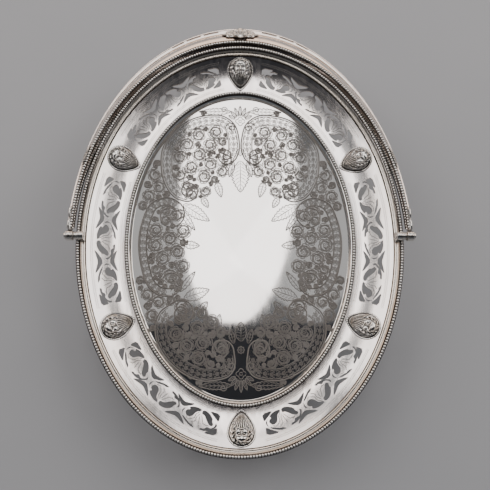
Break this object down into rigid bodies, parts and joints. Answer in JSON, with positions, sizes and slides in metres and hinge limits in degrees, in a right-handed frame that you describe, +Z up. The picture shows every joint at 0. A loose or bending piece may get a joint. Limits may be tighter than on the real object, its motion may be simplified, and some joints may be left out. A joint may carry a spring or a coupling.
{
  "type": "serving tray",
  "caption": "Oval footed serving tray with a pierced border, raised masks, beaded wires, a sunk well and a swing handle hinged at the long sides.",
  "frame": {"origin": "middle of the footprint box on the surface the foot stands on, with the handle folded down over the +Y end", "axes": "+Z up, +Y along the tray towards the end that the folded handle reaches round, +X across the tray through the hinges"},
  "size_m": [0.248, 0.3189, 0.0654],
  "materials": {
    "foot_silver": "plain polished silver plate, darkened in the hollows",
    "mask_silver": "cast and chased silver plate with dark patina in the recesses",
    "wire_silver": "polished beaded silver plate wire",
    "well_silver": "bright silver plate, engraved with scrolls",
    "border_silver": "bright silver plate, pierced and pricked",
    "hinge_silver": "worn silver plate",
    "handle_silver": "polished silver plate strap"
  },
  "bodies": {
    "tray": {"border_mask_1": "mask_silver", "border_mask_2": "mask_silver", "border_mask_3": "mask_silver", "border_mask_4": "mask_silver", "border_mask_5": "mask_silver", "border_mask_6": "mask_silver", "foot_bead_wire": "foot_silver", "foot_collar": "foot_silver", "foot_skirt": "foot_silver", "hinge_collar_left": "hinge_silver", "hinge_collar_right": "hinge_silver", "hinge_lug_left": "hinge_silver", "hinge_lug_right": "hinge_silver", "hinge_pin_left": "hinge_silver", "hinge_pin_right": "hinge_silver", "hinge_washer_left": "hinge_silver", "hinge_washer_right": "hinge_silver", "pierced_border": "border_silver", "rim_bead_wire": "wire_silver", "rim_reed_strip": "wire_silver", "well_bead_wire": "wire_silver", "well_plate": "well_silver"},
    "handle": {"handle_bead_wire_front": "wire_silver", "handle_bead_wire_rear": "wire_silver", "handle_end_leaf_left": "handle_silver", "handle_end_leaf_right": "handle_silver", "handle_gallery": "handle_silver", "handle_leaf_left_front": "handle_silver", "handle_leaf_left_rear": "handle_silver", "handle_leaf_right_front": "handle_silver", "handle_leaf_right_rear": "handle_silver", "handle_strap": "handle_silver", "handle_top_cartouche_front": "handle_silver", "handle_top_cartouche_rear": "handle_silver", "hinge_barrel_left": "hinge_silver", "hinge_barrel_right": "hinge_silver"}
  },
  "joints": [
    {"name": "handle_swing", "type": "hinge", "parent": "tray", "child": "handle", "pos_m": [0, -0.00954, 0.06187], "axis": [1, 0, 0], "range_deg": [0, 188]}
  ]
}
